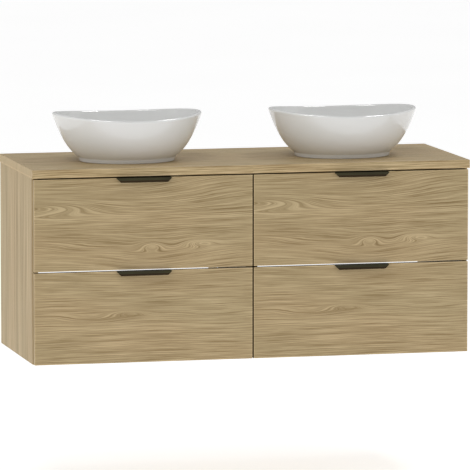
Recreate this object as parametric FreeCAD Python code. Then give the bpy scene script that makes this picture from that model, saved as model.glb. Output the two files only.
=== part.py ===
"""Wall-hung double vanity with two oval vessel basins and four pull-out drawers.

Lengths are in millimetres. While a piece is shaped, X runs to the right along the wall, Y runs
into the wall (the wall plane is y = 0 and the room is at negative y) and Z runs up from the
underside of the cabinets. save() then lowers each piece, so that the origin lies in the wall
plane, between the two cabinets, at the middle of the countertop's back edge.
"""
import FreeCAD, Part
import math
import os

V = FreeCAD.Vector

# Cabinets
CABINET_WIDTH = 600.0
CABINET_HEIGHT = 500.0
BOARD = 16.0
OVERALL_DEPTH = 460.0

# Countertop
COUNTER_THICKNESS = 22.0
COUNTER_OVERHANG = 2.5

# Drawer fronts
FRONT_SETBACK = 1.0          # the fronts stand this far behind the countertop's front edge
FRONT_SIDE_INSET = 2.0
FRONT_GAP = 4.0              # above and below the upper front
FRONT_TO_CARCASS = 2.0

# Handles, bent from sheet and let into the top edge of each front
HANDLE_WIDTH = 148.0
HANDLE_SHEET = 2.0
HANDLE_REACH = 12.0
HANDLE_LIP_HEIGHT = 12.0
HANDLE_CORNER_CUT = 10.0
HANDLE_TAPER_HEIGHT = 5.5    # the lip's face slopes back over this height at its lower edge
HANDLE_TAPER_DEPTH = 1.2
HANDLE_FLANGE_HEIGHT = 22.0

# Drawer boxes and their runners
RUNNER_SPACE = 13.0          # between a cabinet side and the drawer box
RUNNER_LENGTH = 350.0
RUNNER_SETBACK = 5.0         # from the carcass's front edge
RAIL_HEIGHT = 40.0
RAIL_DEPTH = 8.0
RAIL_SHEET = 1.5
SLIDE_HEIGHT = 35.0
SLIDE_START = 2.5            # out from the cabinet side
SLIDE_END = 12.3
SLIDE_SHEET = 1.3
LEDGE_CLEARANCE = 0.7        # drawer side's ledge above the slide
LEDGE_SIDE_GAP = 0.5         # between the ledge's edge and the rail
DRAWER_DEPTH = 380.0
DRAWER_SIDE_THICKNESS = 12.0
DRAWER_SIDE_HEIGHT = 120.0
DRAWER_BOTTOM_THICKNESS = 12.0
DRAWER_LIFT = 18.0           # box above the lower edge of its front
LOWER_DRAWER_LIFT = 24.0
RUNNER_CENTRE = 30.0         # above the drawer side's lower edge
SURROUND_SHEET = 3.0
CUT_OUT_HALF_WIDTH = 90.0
CUT_OUT_FRONT = -340.0

# Rails behind the drawers
BACK_RAIL_REAR = -16.0
HANGING_RAIL_HEIGHT = 100.0
LOWER_RAIL_HEIGHT = 80.0
TOP_RAIL_DEPTH = 80.0
TOP_RAIL_SETBACK = 6.0

# Wall hangers, measured in from a cabinet side's inner face
HANGER_HEIGHT = 36.0
HANGER_SHEET = 2.0
HANGER_LEVEL = 436.0
HANGER_REACH = 24.0
HANGER_ARM = 6.0
HANGER_ARM_LEVEL = 452.0
HANGER_FLANGE_DEPTH = 36.0
SLOT_START = 8.0
SLOT_END = 52.0
SLOT_LOW = 424.0
SLOT_HIGH = 480.0
PLATE_START = 12.0
PLATE_END = 48.0
LIP_START = 14.0
LIP_END = 28.0
LIP_REACH = 10.0
LIP_LOW = 440.0
WALL_HOLE_RADIUS = 3.5
WALL_HOLE_INSET = 40.0
WALL_HOLE_LEVELS = (436.0, 468.0)

# Fasteners
BOLT_RADIUS = 4.0
BOLT_HEAD_RADIUS = 8.0
BOLT_HEAD_HEIGHT = 2.5
BOLT_PLACES = [(y, z) for y in (-400.0, -120.0) for z in (200.0, 440.0)]
SCREW_RADIUS = 2.0
SCREW_HEAD_RADIUS = 4.2
SCREW_HEAD_HEIGHT = 2.0
SCREW_LENGTH = 28.0
SCREW_OFFSETS = (-220.0, 0.0, 220.0)

# Basins
BASIN_FROM_FRONT = 210.0     # from the countertop's front edge to the basin's centre
BASIN_HEIGHT = 133.0         # at the two raised ends
BASIN_SADDLE = 13.0          # the rim is this much lower at the front and the back
RIM_HALF = (205.0, 170.5)
FOOT_HALF = (129.5, 110.0)
FOOT_TOP_HALF = (132.5, 112.5)
FOOT_HEIGHT = 11.0           # of the steep foot ring, over which the wall flares out
BASIN_WALL = 10.0
BASIN_FLOOR = 14.0
RIM_FILLET = 4.5
FOOT_FILLET = 2.0
FOOT_BLEND = 5.0             # radius in the corner between foot ring and wall
OUTER_FLARE = 3.4            # the larger, the faster the wall flares just above the foot
BOWL_DISH = (4, 0.45)        # powers that shape how the bowl's wall turns in to its floor
BOWL_SECTIONS = (0.004, 0.03, 0.1, 0.22, 0.4, 0.65, 0.85, 1.02)   # shares of the bowl's depth
CUTTER_MARGIN = 10.0         # cutting shapes reach this far past the basin

# Drains
DRAIN_HOLE_RADIUS = 22.5
COUNTER_HOLE_RADIUS = 25.0
DRAIN_RECESS_RADIUS = 33.0
DRAIN_RECESS_DEPTH = 2.0
FLANGE_RADIUS = 31.5
FLANGE_THICKNESS = 2.5
TAIL_RADIUS = 20.95          # thread G 1 1/4
TAIL_BORE = 18.0
TAIL_LENGTH = 75.0           # below the countertop's upper face
RELIEF_RADIUS = 19.6         # groove between the nut's thread and the trap's thread
RELIEF_WIDTH = 3.0
WASHER_RADIUS = 32.0
WASHER_THICKNESS = 3.0
NUT_ACROSS_FLATS = 55.0
NUT_THICKNESS = 10.0
PLUG_RADIUS = 29.5
PLUG_EDGE = 2.0
PLUG_CROWN = 1.5
PLUG_CLEARANCE = 0.5
STEM_RADIUS = 4.0
STEM_CLEARANCE = 0.3
STEM_LENGTH = 34.0
HUB_RADIUS = 7.0
HUB_TOP = -8.0
HUB_HEIGHT = 10.0
SPOKE_WIDTH = 4.0

# Places worked out from the sizes above
COUNTER_TOP = CABINET_HEIGHT + COUNTER_THICKNESS
ORIGIN_HEIGHT = CABINET_HEIGHT + COUNTER_THICKNESS / 2
COUNTER_FRONT = -OVERALL_DEPTH
FRONT_FACE = COUNTER_FRONT + FRONT_SETBACK
FRONT_BACK = FRONT_FACE + BOARD
CARCASS_FRONT = FRONT_BACK + FRONT_TO_CARCASS
INNER_HALF = CABINET_WIDTH / 2 - BOARD
FRONT_HEIGHT = (CABINET_HEIGHT - 2 * FRONT_GAP) / 2
UPPER_FRONT_LOW = FRONT_HEIGHT + FRONT_GAP
BOX_HALF = INNER_HALF - RUNNER_SPACE
BOX_INNER_HALF = BOX_HALF - DRAWER_SIDE_THICKNESS
BOX_BACK = FRONT_BACK + DRAWER_DEPTH
BACK_RAIL_FRONT = BACK_RAIL_REAR - BOARD
RUNNER_FRONT = CARCASS_FRONT + RUNNER_SETBACK
BASIN_Y = COUNTER_FRONT + BASIN_FROM_FRONT
CENTRES = {"left": -CABINET_WIDTH / 2, "right": CABINET_WIDTH / 2}
LEVELS = {"lower": (0.0, LOWER_DRAWER_LIFT), "upper": (UPPER_FRONT_LOW, DRAWER_LIFT)}


def block(x, y, z):
    """A box from its (low, high) pairs along X, Y and Z."""
    size = (x[1] - x[0], y[1] - y[0], z[1] - z[0])
    return Part.makeBox(*size, V(x[0], y[0], z[0]))


def rod(radius, height, x, y, z):
    """An upright cylinder that stands on (x, y, z)."""
    return Part.makeCylinder(radius, height, V(x, y, z))


def from_side(side, near, far):
    """The X span between two distances in from a cabinet side's inner face, about x = 0."""
    if side == "left":
        return (-INNER_HALF + near, -INNER_HALF + far)
    return (INNER_HALF - far, INNER_HALF - near)


def fused(shapes):
    """One solid from shapes that touch or overlap."""
    return shapes[0].fuse(shapes[1:]).removeSplitter()


def save(name, shape, x=0.0):
    """Move a shape to its place in the part's own frame and write its STEP file."""
    placed = shape.copy()
    placed.translate(V(x, 0, -ORIGIN_HEIGHT))
    if not placed.isValid():
        raise ValueError(name + " is not a valid shape")
    placed.exportStep("parts/" + name + ".step")


# ---------------------------------------------------------------- fasteners

def countertop_screw(x):
    """A wood screw that comes up through the top rail into the countertop."""
    y = CARCASS_FRONT + TOP_RAIL_SETBACK + TOP_RAIL_DEPTH / 2
    low = CABINET_HEIGHT - BOARD
    head = rod(SCREW_HEAD_RADIUS, SCREW_HEAD_HEIGHT, x, y, low)
    return head.fuse(rod(SCREW_RADIUS, SCREW_LENGTH, x, y, low)).removeSplitter()


def joining_bolt(y, z):
    """A sleeve bolt through the two cabinet sides that meet at x = 0."""
    along = V(1, 0, 0)
    reach = BOARD + BOLT_HEAD_HEIGHT
    shank = Part.makeCylinder(BOLT_RADIUS, 2 * reach, V(-reach, y, z), along)
    heads = [Part.makeCylinder(BOLT_HEAD_RADIUS, BOLT_HEAD_HEIGHT, V(x, y, z), along)
             for x in (-reach, BOARD)]
    return shank.fuse(heads).removeSplitter()


# ---------------------------------------------------------------- countertop and carcass

def countertop():
    half = CABINET_WIDTH + COUNTER_OVERHANG
    top = block((-half, half), (COUNTER_FRONT, 0), (CABINET_HEIGHT, COUNTER_TOP))
    for centre in CENTRES.values():
        top = top.cut(rod(COUNTER_HOLE_RADIUS, COUNTER_THICKNESS, centre, BASIN_Y, CABINET_HEIGHT))
        for offset in SCREW_OFFSETS:
            top = top.cut(countertop_screw(centre + offset))
    return top


def cabinet_side(cabinet, side):
    """An upright side panel; the two that meet at x = 0 are drilled for the joining bolts."""
    panel = block(from_side(side, -BOARD, 0), (CARCASS_FRONT, 0), (0, CABINET_HEIGHT))
    if cabinet != side:
        for y, z in BOLT_PLACES:
            bolt = joining_bolt(y, z)
            bolt.translate(V(-CENTRES[cabinet], 0, 0))
            panel = panel.cut(bolt)
    return panel


def cabinet_bottom():
    return block((-INNER_HALF, INNER_HALF), (CARCASS_FRONT, BACK_RAIL_REAR), (0, BOARD))


def top_rail():
    """The flat board behind the top of the upper front, which the countertop is screwed to."""
    front = CARCASS_FRONT + TOP_RAIL_SETBACK
    rail = block((-INNER_HALF, INNER_HALF), (front, front + TOP_RAIL_DEPTH),
                 (CABINET_HEIGHT - BOARD, CABINET_HEIGHT))
    for offset in SCREW_OFFSETS:
        rail = rail.cut(countertop_screw(offset))
    return rail


def hanging_rail():
    """The upright board at the back, with a slot at each end for a wall hanger."""
    rail = block((-INNER_HALF, INNER_HALF), (BACK_RAIL_FRONT, BACK_RAIL_REAR),
                 (CABINET_HEIGHT - HANGING_RAIL_HEIGHT, CABINET_HEIGHT))
    for side in CENTRES:
        slot = block(from_side(side, SLOT_START, SLOT_END), (BACK_RAIL_FRONT, BACK_RAIL_REAR),
                     (SLOT_LOW, SLOT_HIGH))
        rail = rail.cut(slot)
    return rail


def lower_rail():
    return block((-INNER_HALF, INNER_HALF), (BACK_RAIL_FRONT, BACK_RAIL_REAR),
                 (BOARD, BOARD + LOWER_RAIL_HEIGHT))


def hanger_bracket(side):
    """A bracket on the cabinet side whose arm reaches back through the rail's slot."""
    top = HANGER_LEVEL + HANGER_HEIGHT
    rear = BACK_RAIL_FRONT - HANGER_SHEET
    front = rear - HANGER_SHEET
    arm_x = from_side(side, HANGER_REACH - HANGER_ARM, HANGER_REACH)
    arm_z = (HANGER_ARM_LEVEL, HANGER_ARM_LEVEL + HANGER_ARM)
    flange = block(from_side(side, 0, HANGER_SHEET), (front - HANGER_FLANGE_DEPTH, rear),
                   (HANGER_LEVEL, top))
    bridge = block(from_side(side, 0, HANGER_REACH), (front, rear), (HANGER_LEVEL, top))
    tip = -2 * HANGER_SHEET
    arm = block(arm_x, (rear, tip), arm_z)
    finger = block(arm_x, (tip - 1.5 * HANGER_SHEET, tip), (LIP_LOW + 2 * HANGER_SHEET, arm_z[1]))
    return fused([flange, bridge, arm, finger])


def wall_plate(side):
    """A plate screwed to the wall, with a lip turned up that the hanger's arm rests on."""
    plate = block(from_side(side, PLATE_START, PLATE_END), (-HANGER_SHEET, 0), (SLOT_LOW, SLOT_HIGH))
    lip_x = from_side(side, LIP_START, LIP_END)
    ledge = block(lip_x, (-LIP_REACH, -HANGER_SHEET), (LIP_LOW, LIP_LOW + HANGER_SHEET))
    upturn = block(lip_x, (-LIP_REACH, -LIP_REACH + HANGER_SHEET), (LIP_LOW, HANGER_ARM_LEVEL))
    plate = fused([plate, ledge, upturn])
    hole_x = sum(from_side(side, WALL_HOLE_INSET, WALL_HOLE_INSET)) / 2
    for level in WALL_HOLE_LEVELS:
        start = V(hole_x, -HANGER_SHEET, level)
        plate = plate.cut(Part.makeCylinder(WALL_HOLE_RADIUS, HANGER_SHEET, start, V(0, 1, 0)))
    return plate


# ---------------------------------------------------------------- runners

def channel(side, back, edge, half_height, sheet, centre):
    """A runner's channel section; its web is at distance back and its flanges end at edge."""
    outward = sheet if edge > back else -sheet
    web = from_side(side, min(back, back + outward), max(back, back + outward))
    flange = from_side(side, min(back, edge), max(back, edge))
    run = (RUNNER_FRONT, RUNNER_FRONT + RUNNER_LENGTH)
    pieces = [block(web, run, (centre - half_height, centre + half_height))]
    for low in (centre - half_height, centre + half_height - sheet):
        pieces.append(block(flange, run, (low, low + sheet)))
    return fused(pieces)


def runner_rails(centre):
    """The pair of channels screwed to the cabinet sides."""
    return Part.makeCompound([channel(side, 0, RAIL_DEPTH, RAIL_HEIGHT / 2, RAIL_SHEET, centre)
                              for side in CENTRES])


def runner_slides(centre):
    """The pair of middle members, which travel half as far as the drawer."""
    return Part.makeCompound([channel(side, SLIDE_END, SLIDE_START, SLIDE_HEIGHT / 2, SLIDE_SHEET, centre)
                              for side in CENTRES])


# ---------------------------------------------------------------- drawers

def drawer_front(low):
    """A front whose top edge is let in by the handle's sheet."""
    half = CABINET_WIDTH / 2 - FRONT_SIDE_INSET
    top = low + FRONT_HEIGHT
    board = block((-half, half), (FRONT_FACE, FRONT_BACK), (low, top))
    span = (-HANDLE_WIDTH / 2, HANDLE_WIDTH / 2)
    return board.cut(block(span, (FRONT_FACE, FRONT_BACK), (top - HANDLE_SHEET, top)))


def drawer_handle(top):
    """A sheet bent over the front's top edge; its lip is cut off at both ends and tapers below."""
    half = HANDLE_WIDTH / 2
    lip_face = FRONT_FACE - HANDLE_REACH
    flange_rear = FRONT_BACK + HANDLE_SHEET
    under = top - HANDLE_SHEET
    lip_low = top - HANDLE_LIP_HEIGHT
    outline = [(-half, top), (half, top), (half, under), (half - HANDLE_CORNER_CUT, lip_low),
               (-half + HANDLE_CORNER_CUT, lip_low), (-half, under)]
    points = [V(x, lip_face, z) for x, z in outline]
    lip = Part.Face(Part.makePolygon(points + points[:1])).extrude(V(0, HANDLE_SHEET, 0))
    slope = [V(-half, lip_face, lip_low + HANDLE_TAPER_HEIGHT), V(-half, lip_face, lip_low),
             V(-half, lip_face + HANDLE_TAPER_DEPTH, lip_low)]
    lip = lip.cut(Part.Face(Part.makePolygon(slope + slope[:1])).extrude(V(HANDLE_WIDTH, 0, 0)))
    cover = block((-half, half), (lip_face, flange_rear), (under, top))
    flange = block((-half, half), (FRONT_BACK, flange_rear), (top - HANDLE_FLANGE_HEIGHT, top))
    return fused([lip, cover, flange])


def drawer_side(side, low):
    """A metal drawer side with the ledge that rides over the runner's middle member."""
    near = RUNNER_SPACE
    plate = block(from_side(side, near, near + DRAWER_SIDE_THICKNESS), (FRONT_BACK, BOX_BACK),
                  (low, low + DRAWER_SIDE_HEIGHT))
    upper = [edge for edge in plate.Edges
             if abs(edge.BoundBox.ZMin - low - DRAWER_SIDE_HEIGHT) < 0.01 and edge.BoundBox.YLength > 1]
    plate = plate.makeFillet(DRAWER_SIDE_THICKNESS / 4, upper)
    ledge_low = low + RUNNER_CENTRE + SLIDE_HEIGHT / 2 + LEDGE_CLEARANCE
    ledge_x = from_side(side, RAIL_DEPTH + LEDGE_SIDE_GAP, near)
    ledge = block(ledge_x, (RUNNER_FRONT, RUNNER_FRONT + RUNNER_LENGTH), (ledge_low, ledge_low + RAIL_SHEET))
    return fused([plate, ledge])


def drawer_bottom(low, cut_out):
    """The base board; an upper drawer's is cut out from the back to pass round the drain."""
    board = block((-BOX_INNER_HALF, BOX_INNER_HALF), (FRONT_BACK, BOX_BACK),
                  (low, low + DRAWER_BOTTOM_THICKNESS))
    if cut_out:
        board = board.cut(block((-CUT_OUT_HALF_WIDTH, CUT_OUT_HALF_WIDTH), (CUT_OUT_FRONT, BOX_BACK),
                                (low, low + DRAWER_BOTTOM_THICKNESS)))
    return board


def drawer_back(low, cut_out):
    """The back board, or the two short boards beside an upper drawer's cut-out."""
    z = (low + DRAWER_BOTTOM_THICKNESS, low + DRAWER_SIDE_HEIGHT)
    y = (BOX_BACK - BOARD, BOX_BACK)
    if not cut_out:
        return block((-BOX_INNER_HALF, BOX_INNER_HALF), y, z)
    near = CUT_OUT_HALF_WIDTH + SURROUND_SHEET
    return Part.makeCompound([block((-BOX_INNER_HALF, -near), y, z), block((near, BOX_INNER_HALF), y, z)])


def drain_surround(low):
    """A bent sheet that stands round the cut-out and keeps the drawer's contents off the drain."""
    outer = CUT_OUT_HALF_WIDTH + SURROUND_SHEET
    z = (low + DRAWER_BOTTOM_THICKNESS, low + DRAWER_SIDE_HEIGHT)
    sheet = block((-outer, outer), (CUT_OUT_FRONT - SURROUND_SHEET, BOX_BACK), z)
    bends = [edge for edge in sheet.Edges
             if edge.BoundBox.ZLength > 1 and edge.BoundBox.YMax < CUT_OUT_FRONT]
    sheet = sheet.makeFillet(4 * SURROUND_SHEET, bends)
    hollow = block((-CUT_OUT_HALF_WIDTH, CUT_OUT_HALF_WIDTH), (CUT_OUT_FRONT, BOX_BACK), z)
    bends = [edge for edge in hollow.Edges
             if edge.BoundBox.ZLength > 1 and edge.BoundBox.YMax < CUT_OUT_FRONT + 1]
    return sheet.cut(hollow.makeFillet(3 * SURROUND_SHEET, bends))


# ---------------------------------------------------------------- basins and drains

def oval(half, y, z):
    """A closed oval, half[0] wide and half[1] deep from its centre."""
    return Part.Wire(Part.Ellipse(V(0, y, z), half[0], half[1]).toShape())


def outer_half(height, axis):
    """Half the basin's outside width (axis 0) or depth (axis 1) at a height above its foot."""
    if height < FOOT_HEIGHT:
        return FOOT_HALF[axis] + (FOOT_TOP_HALF[axis] - FOOT_HALF[axis]) * height / FOOT_HEIGHT
    rise = (height - FOOT_HEIGHT) / (BASIN_HEIGHT - FOOT_HEIGHT)
    share = math.log(1 + OUTER_FLARE * rise) / math.log(1 + OUTER_FLARE)
    return FOOT_TOP_HALF[axis] + (RIM_HALF[axis] - FOOT_TOP_HALF[axis]) * share


def bowl_half(height, axis):
    """Half the bowl's width or depth: it follows the outside, then turns in to a dished floor."""
    rise = (height - BASIN_FLOOR) / (BASIN_HEIGHT - BASIN_FLOOR)
    turn = (1 - (1 - min(rise, 1.0)) ** BOWL_DISH[0]) ** BOWL_DISH[1]
    return (outer_half(height, axis) - BASIN_WALL) * turn


def lofted(half_at, heights):
    """A smooth solid through the ovals that half_at gives at each height above the foot."""
    ovals = [oval((half_at(h, 0), half_at(h, 1)), BASIN_Y, COUNTER_TOP + h) for h in heights]
    return Part.makeLoft(ovals, True, False)


def above_rim():
    """Everything over the rim, whose height follows an arc that is lowest in the middle."""
    reach = RIM_HALF[0] + CUTTER_MARGIN
    radius = (RIM_HALF[0] ** 2 + BASIN_SADDLE ** 2) / (2 * BASIN_SADDLE)
    lowest = COUNTER_TOP + BASIN_HEIGHT - BASIN_SADDLE
    end = lowest + radius - math.sqrt(radius ** 2 - reach ** 2)
    ceiling = COUNTER_TOP + BASIN_HEIGHT + CUTTER_MARGIN
    y = BASIN_Y - reach
    left, right = V(-reach, y, end), V(reach, y, end)
    arc = Part.Arc(left, V(0, y, lowest), right).toShape()
    lid = Part.makePolygon([right, V(reach, y, ceiling), V(-reach, y, ceiling), left])
    return Part.Face(Part.Wire([arc] + lid.Edges)).extrude(V(0, 2 * reach, 0))


def basin():
    """The ceramic vessel: an oval bowl with convex sides, a saddle-shaped rim and a drain hole."""
    step = (BASIN_HEIGHT - FOOT_HEIGHT) / 6
    wall = lofted(outer_half, [FOOT_HEIGHT + step * i for i in range(7)])
    shell = wall.fuse(lofted(outer_half, (0.0, FOOT_HEIGHT)))
    corner = [edge for edge in shell.Edges
              if abs(edge.BoundBox.ZMin - COUNTER_TOP - FOOT_HEIGHT) < 0.1 and edge.BoundBox.ZLength < 0.1]
    shell = shell.makeFillet(FOOT_BLEND, corner)
    depth = BASIN_HEIGHT - BASIN_FLOOR
    shell = shell.cut(lofted(bowl_half, [BASIN_FLOOR + depth * rise for rise in BOWL_SECTIONS]))
    shell = shell.cut(above_rim())
    rim_level = COUNTER_TOP + BASIN_HEIGHT - BASIN_SADDLE - 1
    rim = [edge for edge in shell.Edges if edge.BoundBox.ZMin > rim_level]
    shell = shell.makeFillet(RIM_FILLET, rim)
    foot = [edge for edge in shell.Edges if edge.BoundBox.ZMax < COUNTER_TOP + 0.1]
    shell = shell.makeFillet(FOOT_FILLET, foot)
    seat = COUNTER_TOP + BASIN_FLOOR - DRAIN_RECESS_DEPTH
    shell = shell.cut(rod(DRAIN_RECESS_RADIUS, BASIN_FLOOR, 0, BASIN_Y, seat))
    return shell.cut(rod(DRAIN_HOLE_RADIUS, BASIN_FLOOR, 0, BASIN_Y, COUNTER_TOP))


def drain_body():
    """The flanged drain tube, with a spider inside that guides the plug's stem."""
    seat = COUNTER_TOP + BASIN_FLOOR - DRAIN_RECESS_DEPTH
    low = COUNTER_TOP - TAIL_LENGTH
    tube = rod(TAIL_RADIUS, seat - low, 0, BASIN_Y, low)
    tube = tube.fuse(rod(FLANGE_RADIUS, FLANGE_THICKNESS, 0, BASIN_Y, seat))
    tube = tube.cut(rod(TAIL_BORE, seat - low + FLANGE_THICKNESS, 0, BASIN_Y, low))
    relief = CABINET_HEIGHT - WASHER_THICKNESS - NUT_THICKNESS - RELIEF_WIDTH
    groove = rod(FLANGE_RADIUS, RELIEF_WIDTH, 0, BASIN_Y, relief)
    tube = tube.cut(groove.cut(rod(RELIEF_RADIUS, RELIEF_WIDTH, 0, BASIN_Y, relief)))
    hub_low = COUNTER_TOP + HUB_TOP - HUB_HEIGHT
    hub_z = (hub_low, hub_low + HUB_HEIGHT)
    arm = (TAIL_BORE + RELIEF_RADIUS) / 2
    wide = SPOKE_WIDTH / 2
    spider = [rod(HUB_RADIUS, HUB_HEIGHT, 0, BASIN_Y, hub_low),
              block((-arm, arm), (BASIN_Y - wide, BASIN_Y + wide), hub_z),
              block((-wide, wide), (BASIN_Y - arm, BASIN_Y + arm), hub_z)]
    body = tube.fuse(spider).removeSplitter()
    return body.cut(rod(STEM_RADIUS + STEM_CLEARANCE, HUB_HEIGHT, 0, BASIN_Y, hub_low))


def drain_washer(x):
    """The rubber washer between the countertop's underside and the nut."""
    low = CABINET_HEIGHT - WASHER_THICKNESS
    ring = rod(WASHER_RADIUS, WASHER_THICKNESS, x, BASIN_Y, low)
    return ring.cut(rod(TAIL_RADIUS, WASHER_THICKNESS, x, BASIN_Y, low))


def drain_nut(x):
    """The hexagonal nut that clamps basin and drain to the countertop."""
    low = CABINET_HEIGHT - WASHER_THICKNESS - NUT_THICKNESS
    corner = NUT_ACROSS_FLATS / math.sqrt(3)
    turns = [math.radians(60 * i) for i in range(7)]
    points = [V(x + corner * math.cos(turn), BASIN_Y + corner * math.sin(turn), low) for turn in turns]
    nut = Part.Face(Part.makePolygon(points)).extrude(V(0, 0, NUT_THICKNESS))
    return nut.cut(rod(TAIL_RADIUS, NUT_THICKNESS, x, BASIN_Y, low))


def drain_plug():
    """The domed plug and its stem, closed: it rises to let the water out."""
    low = COUNTER_TOP + BASIN_FLOOR - DRAIN_RECESS_DEPTH + FLANGE_THICKNESS + PLUG_CLEARANCE
    crown = low + PLUG_EDGE + PLUG_CROWN
    dome_radius = (PLUG_RADIUS ** 2 + PLUG_CROWN ** 2) / (2 * PLUG_CROWN)
    dome = Part.makeSphere(dome_radius, V(0, BASIN_Y, crown - dome_radius))
    cap = rod(PLUG_RADIUS, PLUG_EDGE + PLUG_CROWN, 0, BASIN_Y, low).common(dome)
    return fused([cap, rod(STEM_RADIUS, STEM_LENGTH, 0, BASIN_Y, low - STEM_LENGTH)])


# ---------------------------------------------------------------- the whole part

def build_cabinet(cabinet, centre):
    for side in CENTRES:
        save(cabinet + "_cabinet_side_" + side, cabinet_side(cabinet, side), centre)
    save(cabinet + "_cabinet_bottom", cabinet_bottom(), centre)
    save(cabinet + "_cabinet_top_rail", top_rail(), centre)
    save(cabinet + "_cabinet_hanging_rail", hanging_rail(), centre)
    save(cabinet + "_cabinet_lower_rail", lower_rail(), centre)


def build_drawer(name, centre, front_low, lift, cut_out):
    low = front_low + lift
    save(name + "_drawer_front", drawer_front(front_low), centre)
    save(name + "_drawer_handle", drawer_handle(front_low + FRONT_HEIGHT), centre)
    for side in CENTRES:
        save(name + "_drawer_side_" + side, drawer_side(side, low), centre)
    save(name + "_drawer_bottom", drawer_bottom(low, cut_out), centre)
    save(name + "_drawer_back", drawer_back(low, cut_out), centre)
    if cut_out:
        save(name + "_drain_surround", drain_surround(low), centre)
    save(name + "_runner_rails", runner_rails(low + RUNNER_CENTRE), centre)
    save(name + "_runner_slides", runner_slides(low + RUNNER_CENTRE), centre)


def build_shared_hardware():
    """Identical pieces of the fixed part, grouped by kind."""
    brackets, plates, screws, washers, nuts = [], [], [], [], []
    for centre in CENTRES.values():
        for side in CENTRES:
            for group, maker in ((brackets, hanger_bracket), (plates, wall_plate)):
                piece = maker(side)
                piece.translate(V(centre, 0, 0))
                group.append(piece)
        screws += [countertop_screw(centre + offset) for offset in SCREW_OFFSETS]
        washers.append(drain_washer(centre))
        nuts.append(drain_nut(centre))
    groups = {"hanger_brackets": brackets, "wall_plates": plates, "countertop_screws": screws,
              "drain_washers": washers, "drain_nuts": nuts,
              "cabinet_joining_bolts": [joining_bolt(y, z) for y, z in BOLT_PLACES]}
    for name, shapes in groups.items():
        save(name, Part.makeCompound(shapes))


def main():
    os.makedirs("parts", exist_ok=True)
    save("countertop", countertop())
    build_shared_hardware()
    for cabinet, centre in CENTRES.items():
        build_cabinet(cabinet, centre)
        save("basin_" + cabinet, basin(), centre)
        save("drain_body_" + cabinet, drain_body(), centre)
        save("drain_plug_" + cabinet, drain_plug(), centre)
        for level, (front_low, lift) in LEVELS.items():
            build_drawer(cabinet + "_" + level, centre, front_low, lift, level == "upper")


main()
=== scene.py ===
"""Looks of the wall-hung double vanity: oak-decor boards, glazed basins, black handles.

Metres throughout, in the CAD frame: X to the right, Y into the wall, Z up.
"""
import math

import bmesh
import bpy
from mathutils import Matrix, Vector


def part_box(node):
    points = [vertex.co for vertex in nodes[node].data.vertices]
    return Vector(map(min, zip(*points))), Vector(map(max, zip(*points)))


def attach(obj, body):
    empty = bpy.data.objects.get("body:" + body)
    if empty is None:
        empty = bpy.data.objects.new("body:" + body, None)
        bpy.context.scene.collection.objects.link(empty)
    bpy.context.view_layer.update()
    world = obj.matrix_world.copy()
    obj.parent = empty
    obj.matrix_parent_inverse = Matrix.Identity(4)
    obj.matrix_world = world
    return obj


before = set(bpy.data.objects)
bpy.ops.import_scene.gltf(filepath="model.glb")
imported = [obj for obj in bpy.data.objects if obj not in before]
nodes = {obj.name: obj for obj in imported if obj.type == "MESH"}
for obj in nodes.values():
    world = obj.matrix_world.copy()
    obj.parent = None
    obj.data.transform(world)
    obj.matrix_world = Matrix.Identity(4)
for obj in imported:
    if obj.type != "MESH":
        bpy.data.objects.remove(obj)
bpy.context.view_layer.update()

# The camera stands far off with a long lens, so that lines run almost parallel.
# Azimuths are 0 in front and negative to the left; angles are in degrees.
CAMERA_TARGET = Vector((0.0, -0.25, -0.201))
CAMERA_AZIMUTH = -13.5
CAMERA_ELEVATION = 6.65
CAMERA_DISTANCE = 14.31
CAMERA_LENS = 403.2

FLOOR_LEVEL = -0.85
FLOOR_SIZE = 400.0
FLOOR_GLOW = 0.52
SKY = 0.5

# Each soft box: name, azimuth, elevation, size, radiance, and whether it shows only in gloss
LIGHT_TARGET = Vector((0.0, -0.25, 0.0))
LIGHT_DISTANCE = 5.0
LIGHTS = [
    ("high left", -46.0, 58.0, (2.2, 0.8), 6.0, False),
    ("high right", 92.0, 60.0, (2.2, 0.8), 6.0, False),
    ("glint left", -58.0, 66.0, (1.8, 1.2), 16.0, True),
    ("glint right", 96.0, 62.0, (1.8, 1.2), 20.0, True),
    ("low left", -75.0, 8.0, (3.5, 3.0), 0.88, False),
    ("low right", 75.0, 8.0, (3.5, 3.0), 0.5, False),
]

# Small fittings added to the CAD pieces
SCREW_RADIUS = 0.0042
SCREW_HEIGHT = 0.0018
SCREW_SPREAD = 0.05          # from the middle of a handle
SCREW_DROP = 0.6             # below a handle's top, as a share of its height
CAP_RADIUS = 0.007
CAP_HEIGHT = 0.0008
CAP_INSET = 0.030            # behind a drawer side's front end
BUFFER_RADIUS = 0.0045
BUFFER_HEIGHT = 0.0014
BUFFER_INSET = 0.030         # from a front's upper and lower edges
THREAD_RADIUS = 0.02095      # outside a G 1 1/4 thread
THREAD_PITCH = 0.0023
THREAD_RISE = 0.00045
THREAD_SINK = 0.0001         # from the thread's radius in to the valleys between ridges
THREAD_INNER = 0.0004        # from the thread's radius in to the ridges' back
THREAD_START = 0.002         # above the tail's lower end
THREAD_STOP = 0.004          # below the nut
SOFTENED_SHARE = 0.05        # of a fitting's radius, rounded off its edges
SOFTENED_ANGLE = math.radians(50)    # between faces, from which a CAD piece's edge is rounded
RING_CORNERS = 32

DRAWERS = [cabinet + "_" + level for cabinet in ("left", "right") for level in ("lower", "upper")]
front_low, front_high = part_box("left_lower_drawer_front")
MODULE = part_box("right_lower_drawer_front")[0].x - front_low.x
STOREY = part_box("left_upper_drawer_front")[0].z - front_low.z


# ---------------------------------------------------------------- shader building

NOISE_LOW, NOISE_HIGH = 0.3, 0.7     # noise seldom leaves this range


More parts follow.
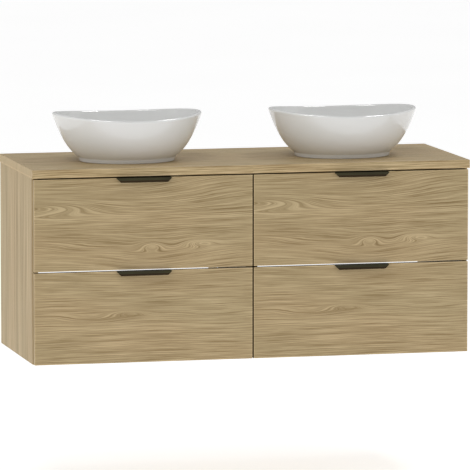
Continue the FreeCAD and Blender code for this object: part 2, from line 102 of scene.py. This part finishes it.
class Shader:
    """A material's node tree, with short ways to add nodes to it."""

    def __init__(self, name):
        self.material = bpy.data.materials.new(name)
        self.material.use_nodes = True
        self.tree = self.material.node_tree
        self.surface = self.tree.nodes["Principled BSDF"]

    def add(self, kind, inputs=None, **settings):
        """A new node; inputs maps a socket's name or number to a value or to another output."""
        node = self.tree.nodes.new(kind)
        for key, value in settings.items():
            setattr(node, key, value)
        for key, value in (inputs or {}).items():
            self.put(node.inputs[key], value)
        return node

    def put(self, socket, value):
        if isinstance(value, bpy.types.NodeSocket):
            self.tree.links.new(value, socket)
        else:
            socket.default_value = value

    def math(self, operation, *values):
        node = self.add("ShaderNodeMath", operation=operation)
        for socket, value in zip(node.inputs, values):
            self.put(socket, value)
        return node.outputs[0]

    def plus(self, *values):
        total = values[0]
        for value in values[1:]:
            total = self.math("ADD", total, value)
        return total

    def times(self, *values):
        total = values[0]
        for value in values[1:]:
            total = self.math("MULTIPLY", total, value)
        return total

    def vector(self, x, y, z=0.0):
        return self.add("ShaderNodeCombineXYZ", {0: x, 1: y, 2: z}).outputs[0]

    def position(self):
        """X, Y and Z in the piece's own frame, which moves with it."""
        place = self.add("ShaderNodeTexCoord").outputs["Object"]
        parts = self.add("ShaderNodeSeparateXYZ", {0: place})
        return place, parts.outputs[0], parts.outputs[1], parts.outputs[2]

    def noise(self, where, scale=1.0, detail=2.0, roughness=0.5):
        inputs = {"Vector": where, "Scale": scale, "Detail": detail, "Roughness": roughness}
        return self.add("ShaderNodeTexNoise", inputs).outputs[0]

    def ramp(self, factor, stops):
        """A colour ramp through (position, colour) stops."""
        node = self.add("ShaderNodeValToRGB", {0: factor})
        elements = node.color_ramp.elements
        while len(elements) < len(stops):
            elements.new(0.5)
        for element, (place, colour) in zip(elements, stops):
            element.position = place
            element.color = (*colour, 1.0)
        return node.outputs[0]

    def tones(self, noise, dark, light):
        """A colour between two, over the range that noise mostly covers."""
        return self.ramp(noise, [(NOISE_LOW, dark), (NOISE_HIGH, light)])

    def spread(self, factor, low, high, start=NOISE_LOW, end=NOISE_HIGH):
        """Factor's range start..end mapped to low..high, held at both ends."""
        inputs = {"Value": factor, "From Min": start, "From Max": end, "To Min": low, "To Max": high}
        return self.add("ShaderNodeMapRange", inputs).outputs[0]

    def swing(self, factor, reach, gain):
        """Factor's range 0.5 - reach .. 0.5 + reach mapped to -gain..gain, held at both ends."""
        return self.spread(factor, -gain, gain, 0.5 - reach, 0.5 + reach)

    def hill(self, value, centre, reach):
        """A smooth bump: 1 at the centre, near 0 beyond twice the reach."""
        offset = self.math("DIVIDE", self.math("SUBTRACT", value, centre), reach)
        return self.math("EXPONENT", self.times(offset, offset, -1.0))

    def choose(self, flag, off, on):
        """The number off where the flag is 0, and the number on where it is 1."""
        return self.add("ShaderNodeMix", {0: flag, 2: off, 3: on}).outputs[0]

    def scaled_colour(self, colour, factor):
        """A colour made lighter or darker by a factor near 1."""
        inputs = {0: colour, 1: self.vector(factor, factor, factor)}
        node = self.add("ShaderNodeVectorMath", inputs, operation="MULTIPLY")
        return node.outputs[0]

    def finish(self, colour, roughness, height=None, distance=0.0):
        self.put(self.surface.inputs["Base Color"], colour)
        self.put(self.surface.inputs["Roughness"], roughness)
        if height is not None:
            inputs = {"Height": height, "Distance": distance, "Strength": 1.0}
            bump = self.add("ShaderNodeBump", inputs)
            self.put(self.surface.inputs["Normal"], bump.outputs[0])
        return self.material


# ---------------------------------------------------------------- oak decor

OAK_TONE = (0.428, 0.321, 0.173)
OAK_SHEEN = 0.35             # specular level, less where an edge is painted dark as shade
OAK_BUMP = 0.00012
DARK_OAK = (0.62, 0.57, 0.46)    # shares of the board's own tone
LIGHT_OAK = (1.38, 1.42, 1.54)
UPRIGHT_STRETCH = 0.35       # the lines are longer on boards whose grain stands upright
FACING = 0.7                 # a normal's part beyond which a face counts as looking that way

# Each noise: how fast it changes along and across the grain, which pattern it takes, its detail
DRIFT = (2.2, 7.0, 0, 1.0)
WANDER = (14.0, 45.0, 5, 2.0)
BROAD = (1.4, 20.0, 11, 2.0)
MIDDLE = (3.0, 130.0, 23, 3.0)
FINE = (7.0, 560.0, 37, 3.0)
PORES = (30.0, 900.0, 51, 2.0)
DARK_LINES = (4.5, 360.0, 71, 3.0)

# How far the first two bend the grain's lines aside, in metres
DRIFT_BEND = 0.014
WANDER_BEND = 0.0035

# How much the others lighten the wood, or darken it where negative
MIDDLE_GAIN = 0.10
FINE_GAIN = 0.34
PORE_GAIN = -0.12
DARK_LINE_GAIN = -0.30

# Noise values between which pores and dark lines come in
PORE_RANGE = (0.56, 0.68)
DARK_LINE_RANGE = (0.57, 0.66)

# Painted highlights along edges: reach from the edge, and how much lighter
FRONT_PAINTED_HIGHLIGHT = (0.0017, 0.28)
TOP_PAINTED_HIGHLIGHT = (0.003, 0.22)
SIDE_PAINTED_HIGHLIGHT = (0.003, 0.12)

# Painted shade: a front's edges darken with the distance behind its face, most where two fronts meet
EDGE_START = 0.001
EDGE_END = 0.005
MEETING_SHADE = -0.97
LEVEL_SHADE = -0.5
INNER_SIDE_SHADE = -1.0      # painted shade on the cabinet sides' front edges behind the upright gap

# Each figure in the grain: place along and across it, reach along and across it, and how far it
# pushes the grain lines aside. A push larger than the reach across closes them into an eye.
FRONT_FIGURES = [
    (-0.020, -0.085, 0.210, 0.024, -0.046),
    (0.330, -0.225, 0.150, 0.055, 0.030),
    (0.322, -0.199, 0.034, 0.014, -0.019),
    (0.460, -0.193, 0.048, 0.010, -0.016),
    (0.620, -0.030, 0.230, 0.070, -0.042),
    (0.130, -0.205, 0.090, 0.020, 0.012),
    (0.265, -0.378, 0.050, 0.007, -0.010),
    (0.150, -0.392, 0.090, 0.016, 0.014),
    (0.480, -0.385, 0.080, 0.012, 0.006),
]
PANEL_FIGURES = [
    (-0.052, -0.120, 0.056, 0.050, 0.012),
    (-0.147, -0.330, 0.070, 0.040, -0.012),
]

# Lighter and darker places in the grain: place and reach as above, then how much lighter
FRONT_PATCHES = [
    (0.325, -0.199, 0.020, 0.007, 0.30),
    (0.456, -0.192, 0.034, 0.006, 0.26),
    (0.480, -0.126, 0.170, 0.004, 0.16),
    (0.490, -0.104, 0.130, 0.002, -0.30),
    (0.030, -0.083, 0.060, 0.010, -0.14),
    (0.300, -0.416, 0.320, 0.006, 0.13),
    (0.170, -0.393, 0.060, 0.005, -0.20),
    (0.265, -0.378, 0.026, 0.004, 0.20),
]


def hills(shader, along, across, places):
    """The sum of smooth bumps, each given by its place, its reach and its height."""
    total = 0.0
    for centre_along, centre_across, reach_along, reach_across, height in places:
        bump = shader.times(shader.hill(along, centre_along, reach_along),
                            shader.hill(across, centre_across, reach_across), height)
        total = shader.plus(bump, total)
    return total


class Grain:
    """Where a point lies along and across the grain, and which way its face looks."""

    def __init__(self, shader, upright):
        _, self.x, self.y, self.z = shader.position()
        normal = shader.add("ShaderNodeNewGeometry").outputs["Normal"]
        facing = shader.add("ShaderNodeSeparateXYZ", {0: normal})
        self.faces_x, self.faces_z = (
            shader.math("GREATER_THAN", shader.math("ABSOLUTE", facing.outputs[axis]), FACING)
            for axis in ("X", "Z"))
        if upright:
            not_x = shader.math("SUBTRACT", 1.0, self.faces_x)
            self.along = self.z
            self.across = shader.plus(self.y, shader.times(self.x, not_x))
        else:
            repeat = shader.math("WRAP", self.x, MODULE, 0.0)
            self.along = shader.choose(self.faces_x, repeat, self.z)
            self.across = shader.choose(self.faces_x, shader.choose(self.faces_z, self.z, self.y), self.y)


def oak(name, figures=(), patches=(), upright=False, seed=0.0, contrast=1.0, stripes=0.06, tone=1.0,
        painted_edges=None):
    """Printed oak decor: fine lines along the board that bend round knots and eyes.

    An optional function of (shader, grain), the last argument, gives the painted highlights and painted
    shade on the board's edges at a point, where 1 is no change.
    """
    shader = Shader(name)
    grain = Grain(shader, upright)
    along, across = grain.along, grain.across
    if upright:
        along = shader.times(along, UPRIGHT_STRETCH)

    def drawn_out(sideways, speed_along, speed_across, pattern, detail):
        """Noise drawn out along the grain; sideways is the place across it."""
        where = shader.vector(shader.times(along, speed_along), shader.times(sideways, speed_across),
                              seed + pattern)
        return shader.noise(where, detail=detail)

    drift = drawn_out(across, *DRIFT)
    wander = drawn_out(across, *WANDER)
    line = shader.plus(across, shader.times(shader.math("SUBTRACT", drift, 0.5), DRIFT_BEND),
                       shader.times(shader.math("SUBTRACT", wander, 0.5), WANDER_BEND))
    if figures:
        line = shader.plus(line, hills(shader, along, across, figures))
    broad = drawn_out(line, *BROAD)
    middle = drawn_out(line, *MIDDLE)
    fine = drawn_out(line, *FINE)
    pore = shader.spread(drawn_out(line, *PORES), 0.0, 1.0, *PORE_RANGE)
    dark_line = shader.spread(drawn_out(line, *DARK_LINES), 0.0, 1.0, *DARK_LINE_RANGE)
    shade = shader.plus(
        0.5,
        shader.swing(broad, 0.18, stripes),
        shader.swing(middle, 0.16, MIDDLE_GAIN * contrast),
        shader.swing(fine, 0.12, FINE_GAIN * contrast),
        shader.times(pore, PORE_GAIN * contrast),
        shader.times(dark_line, DARK_LINE_GAIN * contrast),
    )
    if patches:
        shade = shader.plus(shade, hills(shader, along, across, patches))
    middle_tone = tuple(channel * tone for channel in OAK_TONE)
    dark = tuple(channel * share for channel, share in zip(middle_tone, DARK_OAK))
    light = tuple(channel * share for channel, share in zip(middle_tone, LIGHT_OAK))
    colour = shader.ramp(shade, [(0.0, dark), (0.5, middle_tone), (1.0, light)])
    tint = shader.ramp(drift, [(0.35, (1.045, 1.025, 1.0)), (0.65, (1.02, 1.035, 1.02))])
    colour = shader.add("ShaderNodeVectorMath", {0: colour, 1: tint}, operation="MULTIPLY").outputs[0]
    rough = shader.spread(fine, 0.62, 0.46)
    sheen = OAK_SHEEN
    # Painted highlights and painted shade on the edges scale the colour, and set the roughness and specular
    # level there
    if painted_edges:
        painted_edge_light_and_shade = painted_edges(shader, grain)
        colour = shader.scaled_colour(colour, painted_edge_light_and_shade)
        rough = shader.math("MAXIMUM", rough, shader.math("SUBTRACT", 1.1, painted_edge_light_and_shade))
        sheen = shader.times(painted_edge_light_and_shade, sheen)
    shader.put(shader.surface.inputs["Specular IOR Level"], sheen)
    height = shader.plus(fine, shader.times(pore, -0.8))
    return shader.finish(colour, rough, height, OAK_BUMP)


def near_middle(shader, grain):
    """1 on the boards and edges that meet where the two cabinets join, 0 on the outer ones."""
    return shader.math("LESS_THAN", shader.math("ABSOLUTE", grain.x), MODULE / 2)


def front_painted_edges(shader, grain):
    """Painted highlights round each front's face, and painted shade on edges that darken away from the
    face.
    """
    reach, lighter = FRONT_PAINTED_HIGHLIGHT
    level = shader.math("WRAP", shader.math("SUBTRACT", grain.z, front_low.z), STOREY, 0.0)
    height = front_high.z - front_low.z
    side = front_low.x % MODULE
    # Painted highlights along the upright and the level edges of the face
    upright = shader.plus(shader.hill(grain.along, side, reach),
                          shader.hill(grain.along, MODULE - side, reach))
    painted_level_highlight = shader.plus(shader.hill(level, 0.0, reach), shader.hill(level, height, reach))
    on_face = shader.math("SUBTRACT", 1.0, shader.math("MAXIMUM", grain.faces_x, grain.faces_z))
    face = shader.times(shader.plus(upright, painted_level_highlight), on_face, lighter)
    # Painted shade on the edges, darker the farther they lie behind the face
    painted_shade_depth = shader.spread(grain.y, 0.0, 1.0, front_low.y + EDGE_START, front_low.y + EDGE_END)
    painted_meeting_shade = shader.times(grain.faces_x, near_middle(shader, grain), painted_shade_depth, MEETING_SHADE)
    return shader.plus(1.0, face, painted_meeting_shade, shader.times(grain.faces_z, painted_shade_depth, LEVEL_SHADE))


def countertop_painted_highlight(shader, grain):
    """A painted highlight along the countertop's lower edge."""
    reach, lighter = TOP_PAINTED_HIGHLIGHT
    edge = shader.hill(grain.z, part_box("countertop")[0].z, reach)
    return shader.plus(1.0, shader.times(edge, lighter))


def side_painted_edges(shader, grain):
    """A painted highlight along the front edge of each outer side, and painted shade on the edges that meet
    behind the gap.
    """
    reach, lighter = SIDE_PAINTED_HIGHLIGHT
    edge = shader.hill(grain.y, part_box("left_cabinet_side_left")[0].y, reach)
    inner = shader.times(near_middle(shader, grain), INNER_SIDE_SHADE)
    return shader.plus(1.0, shader.times(edge, shader.plus(lighter, inner)))


# ---------------------------------------------------------------- other materials

def glaze():
    """White vitreous glaze: glossy, with a faint ripple and the slightest clouding."""
    shader = Shader("white glaze")
    place = shader.position()[0]
    cloud = shader.noise(place, scale=9.0)
    ripple = shader.noise(place, scale=60.0, detail=1.0)
    colour = shader.tones(cloud, (0.775, 0.78, 0.765), (0.80, 0.80, 0.79))
    shader.surface.inputs["Coat Weight"].default_value = 0.3
    shader.surface.inputs["Coat Roughness"].default_value = 0.03
    return shader.finish(colour, shader.spread(cloud, 0.10, 0.15), ripple, 0.00004)


def coated_metal(name, tone, roughness, speckle):
    """Powder-coated sheet with a fine orange-peel skin."""
    shader = Shader(name)
    place = shader.position()[0]
    peel = shader.noise(place, scale=900.0, detail=2.0)
    cloud = shader.noise(place, scale=14.0, detail=3.0)
    shade = shader.plus(1.0, shader.times(shader.math("SUBTRACT", cloud, 0.5), speckle),
                        shader.times(shader.math("SUBTRACT", peel, 0.5), speckle))
    rough = shader.spread(cloud, roughness - 0.06, roughness + 0.06)
    return shader.finish(shader.scaled_colour(tone, shade), rough, peel, 0.00003)


def handle_coating():
    """Black coating with painted light and shade: a little green and lighter on the lip's upright face,
    darker and browner where it slopes back and down, as painted shade and a painted reflection of the
    wooden front.
    """
    shader = Shader("black handles")
    place = shader.position()[0]
    peel = shader.noise(place, scale=900.0, detail=2.0)
    cloud = shader.noise(place, scale=14.0, detail=3.0)
    normal = shader.add("ShaderNodeNewGeometry").outputs["Normal"]
    painted_light_facing = shader.add("ShaderNodeSeparateXYZ", {0: normal}).outputs[2]
    # Painted light and shade: the tone follows the face's normal, greener and lighter when upright, browner
    # and darker when it looks down
    tone = shader.ramp(shader.spread(painted_light_facing, 0.0, 1.0, -0.15, -0.05),
                       [(0.0, (0.026, 0.015, 0.004)), (1.0, (0.041, 0.036, 0.017))])
    shade = shader.plus(shader.spread(peel, 0.90, 1.10), shader.swing(cloud, 0.2, 0.15))
    shader.surface.inputs["Specular IOR Level"].default_value = 0.12
    rough = shader.spread(cloud, 0.42, 0.54)
    return shader.finish(shader.scaled_colour(tone, shade), rough, peel, 0.00003)


def bare_metal(name, tone, roughness, stretch):
    """Metal with fine drawn or turned lines; stretch gives their scale along X, Y and Z."""
    shader = Shader(name)
    place = shader.position()[0]
    drawn = shader.add("ShaderNodeVectorMath", {0: place, 1: stretch}, operation="MULTIPLY").outputs[0]
    lines = shader.noise(drawn, scale=1.0, detail=3.0)
    cloud = shader.noise(place, scale=25.0, detail=2.0)
    shade = shader.plus(1.0, shader.times(shader.math("SUBTRACT", lines, 0.5), 0.18),
                        shader.times(shader.math("SUBTRACT", cloud, 0.5), 0.14))
    shader.surface.inputs["Metallic"].default_value = 1.0
    rough = shader.spread(lines, roughness * 0.8, roughness * 1.3)
    return shader.finish(shader.scaled_colour(tone, shade), rough, lines, 0.00002)


def melamine():
    """Light grey drawer board with a fine pressed texture."""
    shader = Shader("grey melamine")
    place = shader.position()[0]
    grit = shader.noise(place, scale=700.0, detail=3.0)
    cloud = shader.noise(place, scale=12.0, detail=3.0)
    colour = shader.tones(cloud, (0.50, 0.50, 0.49), (0.55, 0.55, 0.54))
    shade = shader.spread(grit, 0.95, 1.05)
    return shader.finish(shader.scaled_colour(colour, shade), 0.5, grit, 0.00004)


def rubber(name, dark, light):
    shader = Shader(name)
    place = shader.position()[0]
    grit = shader.noise(place, scale=500.0, detail=3.0)
    colour = shader.tones(grit, dark, light)
    return shader.finish(colour, shader.spread(grit, 0.65, 0.8), grit, 0.00005)


def pale_floor():
    """A pale floor that glows a little, as a light table does."""
    shader = Shader("pale floor")
    place = shader.position()[0]
    cloud = shader.noise(place, scale=0.8, detail=2.0)
    colour = shader.tones(cloud, (0.90, 0.90, 0.90), (0.92, 0.92, 0.92))
    shader.surface.inputs["Emission Color"].default_value = (1.0, 1.0, 1.0, 1.0)
    shader.surface.inputs["Emission Strength"].default_value = FLOOR_GLOW
    return shader.finish(colour, 0.9)


# ---------------------------------------------------------------- dressing the CAD pieces

def dress(names, material, soften=0.0, rounds=2):
    """Give these CAD nodes a material and, where soften is set, slightly rounded edges."""
    for name in names:
        piece = nodes[name]
        piece.data.materials.clear()
        piece.data.materials.append(material)
        if soften:
            bevel = piece.modifiers.new("softened edges", "BEVEL")
            bevel.width = soften
            bevel.segments = rounds
            bevel.limit_method = "ANGLE"
            bevel.angle_limit = SOFTENED_ANGLE


def named(*words):
    """The CAD nodes whose names contain one of these."""
    return [name for name in nodes if any(word in name for word in words)]


def dress_oak():
    fronts = oak("oak fronts", FRONT_FIGURES, FRONT_PATCHES, tone=0.96, painted_edges=front_painted_edges)
    countertop = oak("oak countertop", seed=40.0, contrast=1.4, tone=1.08, painted_edges=countertop_painted_highlight)
    sides = oak("oak sides", PANEL_FIGURES, upright=True, seed=40.0, contrast=1.3, stripes=0.24,
                painted_edges=side_painted_edges)
    rails = oak("oak rails", seed=60.0, tone=0.85)
    # The top rails get a much darker oak as painted shade in the gap under the countertop
    painted_shade_top_rails = oak("top rails painted dark as shade", seed=60.0, tone=0.3)
    dress(named("drawer_front"), fronts, soften=0.0010, rounds=3)
    dress(["countertop"], countertop, soften=0.0008)
    dress(named("cabinet_side"), sides, soften=0.0005)
    dress(named("cabinet_bottom", "hanging_rail", "lower_rail"), rails, soften=0.0005)
    dress(named("top_rail"), painted_shade_top_rails, soften=0.0005)


def dress_fittings(metals):
    dress(named("basin_"), glaze())
    dress(named("drawer_handle"), metals["black_metal"], soften=0.0003)
    dress(named("drawer_side", "drain_surround"), metals["grey_metal"], soften=0.0004)
    dress(named("drawer_bottom", "drawer_back"), melamine(), soften=0.0004)
    dress(named("runner_rails", "runner_slides", "hanger_brackets", "wall_plates", "countertop_screws",
                "joining_bolts"), metals["zinc_steel"])
    dress(named("drain_body", "drain_plug"), metals["chrome"])
    dress(["drain_nuts"], metals["brass"])
    dress(["drain_washers"], rubber("black rubber", (0.022, 0.022, 0.022), (0.034, 0.034, 0.033)))


def shade_basins():
    """Smooth shading over the curves of the basins and their drains."""
    for name in named("basin_", "drain_plug", "drain_body"):
        nodes[name].data.shade_smooth()


# ---------------------------------------------------------------- small fittings

def turned(name, profile, place, axis, material, body, turns=RING_CORNERS):
    """A closed solid of revolution through (radius, height) points, along an axis from a place."""
    mesh = bmesh.new()
    rings = []
    for radius, height in profile:
        if radius == 0.0:
            rings.append([mesh.verts.new((0.0, 0.0, height))])
            continue
        angles = [2 * math.pi * i / turns for i in range(turns)]
        rings.append([mesh.verts.new((radius * math.cos(a), radius * math.sin(a), height)) for a in angles])
    for ring, following in zip(rings, rings[1:]):
        for i in range(turns):
            j = (i + 1) % turns
            corners = [ring[i % len(ring)], ring[j % len(ring)], following[j % len(following)],
                       following[i % len(following)]]
            mesh.faces.new(list(dict.fromkeys(corners)))
    bmesh.ops.recalc_face_normals(mesh, faces=mesh.faces)
    data = bpy.data.meshes.new(name)
    mesh.to_mesh(data)
    mesh.free()
    data.materials.append(material)
    piece = bpy.data.objects.new(name, data)
    piece.location = place
    piece.rotation_euler = Vector(axis).to_track_quat("Z", "Y").to_euler()
    bpy.context.scene.collection.objects.link(piece)
    data.shade_smooth()
    bevel = piece.modifiers.new("softened edges", "BEVEL")
    bevel.width = profile[1][0] * SOFTENED_SHARE
    bevel.segments = 2
    bevel.harden_normals = True
    bevel.limit_method = "ANGLE"
    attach(piece, body)


def handle_screws(metals):
    """Two pan-head screws through each handle's rear flange into its drawer front."""
    r, h = SCREW_RADIUS, SCREW_HEIGHT
    profile = [(0.0, -0.3 * h), (r, -0.3 * h), (r, 0.35 * h), (0.75 * r, 0.85 * h), (0.42 * r, h),
               (0.30 * r, 0.3 * h), (0.0, 0.2 * h)]
    for drawer in DRAWERS:
        low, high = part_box(drawer + "_drawer_handle")
        level = high.z - SCREW_DROP * (high.z - low.z)
        middle = (low.x + high.x) / 2
        for side, x in (("left", middle - SCREW_SPREAD), ("right", middle + SCREW_SPREAD)):
            turned(drawer + "_handle_screw_" + side, profile, (x, high.y, level), (0, 1, 0),
                   metals["zinc_steel"], drawer + "_drawer")


def side_caps(metals):
    """A round cap over the front fixing, on the inner face of each metal drawer side."""
    r, h = CAP_RADIUS, CAP_HEIGHT
    profile = [(0.0, -0.5 * h), (r, -0.5 * h), (r, 0.6 * h), (0.8 * r, h), (0.0, h)]
    for drawer in DRAWERS:
        for side, inward in (("left", 1), ("right", -1)):
            low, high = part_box(drawer + "_drawer_side_" + side)
            x = high.x if inward == 1 else low.x
            place = (x, low.y + CAP_INSET, (low.z + high.z) / 2)
            turned(drawer + "_cap_" + side, profile, place, (inward, 0, 0), metals["grey_metal"],
                   drawer + "_drawer")


def front_buffers():
    """Soft discs on the cabinet sides' front edges, which the closing fronts rest against."""
    r, h = BUFFER_RADIUS, BUFFER_HEIGHT
    profile = [(0.0, -0.3 * h), (r, -0.3 * h), (r, 0.5 * h), (0.7 * r, h), (0.0, h)]
    material = rubber("grey buffers", (0.30, 0.30, 0.29), (0.36, 0.36, 0.35))
    for drawer in DRAWERS:
        cabinet = drawer.split("_")[0]
        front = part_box(drawer + "_drawer_front")
        for side in ("left", "right"):
            low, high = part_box(cabinet + "_cabinet_side_" + side)
            for end, z in (("low", front[0].z + BUFFER_INSET), ("high", front[1].z - BUFFER_INSET)):
                turned("_".join((drawer, "buffer", side, end)), profile, ((low.x + high.x) / 2, low.y, z),
                       (0, -1, 0), material, "vanity")


def drain_threads(metals):
    """Thread ridges round each drain's tail, below the relief groove under the nut."""
    nut_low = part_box("drain_nuts")[0].z
    for cabinet in ("left", "right"):
        low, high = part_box("drain_body_" + cabinet)
        centre = (low + high) / 2
        start, end = low.z + THREAD_START, nut_low - THREAD_STOP
        valley, crest, back = (THREAD_RADIUS + step for step in (-THREAD_SINK, THREAD_RISE, -THREAD_INNER))
        profile = [(back, start)]
        for i in range(int((end - start) / THREAD_PITCH)):
            base = start + i * THREAD_PITCH
            profile += [(valley, base), (crest, base + THREAD_PITCH / 2)]
        profile += [(valley, end), (back, end), (back, start)]
        turned("drain_thread_" + cabinet, profile, (centre.x, centre.y, 0.0), (0, 0, 1), metals["chrome"],
               "vanity", turns=2 * RING_CORNERS)


# ---------------------------------------------------------------- the studio

def stand_off(holder, target, azimuth, elevation, distance):
    """Put a light or the camera at a distance from its target, looking at it."""
    azimuth, elevation = math.radians(azimuth), math.radians(elevation)
    away = Vector((math.sin(azimuth) * math.cos(elevation), -math.cos(azimuth) * math.cos(elevation),
                   math.sin(elevation)))
    holder.location = target + away * distance
    holder.rotation_euler = (-away).to_track_quat("-Z", "Y").to_euler()
    bpy.context.scene.collection.objects.link(holder)


def soft_box(name, azimuth, elevation, size, radiance, only_gloss):
    lamp = bpy.data.lights.new(name, "AREA")
    lamp.shape = "RECTANGLE"
    lamp.size, lamp.size_y = size
    lamp.energy = radiance * math.pi * size[0] * size[1]
    holder = bpy.data.objects.new(name, lamp)
    holder.visible_diffuse = not only_gloss
    stand_off(holder, LIGHT_TARGET, azimuth, elevation, LIGHT_DISTANCE)


def build_studio():
    bpy.ops.mesh.primitive_plane_add(size=FLOOR_SIZE, location=(0.0, 0.0, FLOOR_LEVEL))
    floor = bpy.context.object
    floor.name = "floor"
    floor.data.materials.append(pale_floor())
    world = bpy.data.worlds.new("studio")
    world.use_nodes = True
    background = world.node_tree.nodes["Background"]
    background.inputs["Color"].default_value = (1.0, 1.0, 1.0, 1.0)
    background.inputs["Strength"].default_value = SKY
    bpy.context.scene.world = world
    bpy.context.scene.view_settings.view_transform = "Standard"
    for light in LIGHTS:
        soft_box(*light)


def build_camera():
    camera = bpy.data.objects.new("camera", bpy.data.cameras.new("camera"))
    camera.data.lens = CAMERA_LENS
    camera.data.clip_end = FLOOR_SIZE
    stand_off(camera, CAMERA_TARGET, CAMERA_AZIMUTH, CAMERA_ELEVATION, CAMERA_DISTANCE)
    bpy.context.scene.camera = camera


METALS = {
    "black_metal": handle_coating(),
    "grey_metal": coated_metal("grey drawer sides", (0.10, 0.10, 0.105), 0.45, 0.2),
    "zinc_steel": bare_metal("zinc-plated steel", (0.62, 0.63, 0.65), 0.34, (300.0, 8.0, 300.0)),
    "chrome": bare_metal("chrome", (0.86, 0.87, 0.88), 0.07, (20.0, 20.0, 400.0)),
    "brass": bare_metal("brass", (0.72, 0.55, 0.28), 0.28, (40.0, 40.0, 900.0)),
}
dress_oak()
dress_fittings(METALS)
shade_basins()
handle_screws(METALS)
side_caps(METALS)
front_buffers()
drain_threads(METALS)
build_studio()
build_camera()
